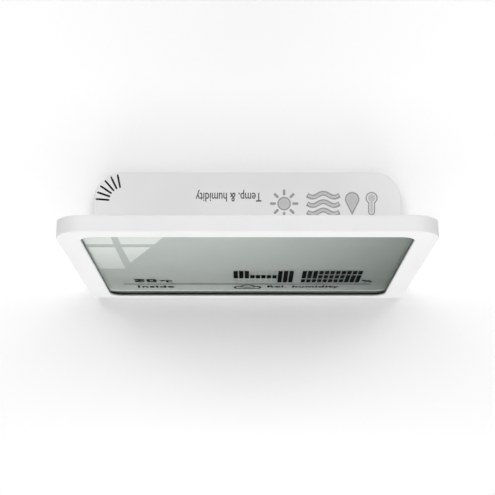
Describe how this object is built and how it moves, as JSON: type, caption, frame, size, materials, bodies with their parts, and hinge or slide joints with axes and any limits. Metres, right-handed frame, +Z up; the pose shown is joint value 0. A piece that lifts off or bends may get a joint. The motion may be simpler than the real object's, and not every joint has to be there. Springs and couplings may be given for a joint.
{
  "type": "indoor climate monitor",
  "caption": "L-shaped desk-top climate monitor: a reflective LCD panel leans back over a flat base plate with corner vents, a twist-off battery door and a unit switch.",
  "frame": {"origin": "on the table, below the centre of the footprint", "axes": "+X to the right seen from the front, +Y to the rear, +Z up"},
  "size_m": [0.095, 0.0388, 0.0772],
  "materials": {
    "white_plastic": "fine matte moulded ABS",
    "mask_black": "black moulded frame behind the bezel",
    "tape_black": "double-sided tape",
    "polariser_film": "anti-glare film",
    "lcd_glass": "thin sheet glass",
    "segment_black": "dark liquid crystal segments",
    "seal_epoxy": "cured epoxy",
    "reflector_film": "grey-green metallised film",
    "foam_grey": "closed-cell foam",
    "flex_film": "amber polyimide with copper tracks",
    "board_green": "green solder mask",
    "connector_plastic": "cream moulded connector",
    "chip_black": "black epoxy package",
    "crystal_can": "plated can",
    "capacitor_ceramic": "tan ceramic with tinned ends",
    "sensor_package": "open-cavity sensor package",
    "membrane_cloth": "breathable mesh",
    "cell_steel": "nickel-plated steel",
    "contact_spring": "nickel-plated spring strip",
    "screw_steel": "zinc-plated steel",
    "feet_rubber": "grey non-slip rubber"
  },
  "bodies": {
    "housing": {"outer_shell": "white_plastic", "inner_shell": "white_plastic", "display_mask": "mask_black", "display_tape": "tape_black", "front_polariser": "polariser_film", "front_glass": "lcd_glass", "lcd_segments": "segment_black", "cell_seal": "seal_epoxy", "rear_glass": "lcd_glass", "rear_reflector": "reflector_film", "backing_foam": "foam_grey", "display_flex": "flex_film", "main_board": "board_green", "flex_connector": "connector_plastic", "controller_chip": "chip_black", "timing_crystal": "crystal_can", "board_capacitors": "capacitor_ceramic", "humidity_sensor": "sensor_package", "vent_membrane": "membrane_cloth", "sensor_baffle": "foam_grey", "coin_cell": "cell_steel", "negative_contact": "contact_spring", "positive_contact": "contact_spring", "switch_housing": "chip_black", "case_screws": "screw_steel", "board_screws": "screw_steel", "rubber_feet": "feet_rubber"},
    "battery_door": {"battery_door": "white_plastic"},
    "switch_knob": {"switch_knob": "white_plastic"}
  },
  "joints": [
    {"name": "battery_door_twist", "type": "hinge", "parent": "housing", "child": "battery_door", "pos_m": [0.017, 0.0015, 0.0011], "axis": [0, 0, -1], "range_deg": [0, 40]},
    {"name": "unit_switch_slide", "type": "slide", "parent": "housing", "child": "switch_knob", "axis": [1, 0, 0], "range_m": [0, 0.002]}
  ]
}
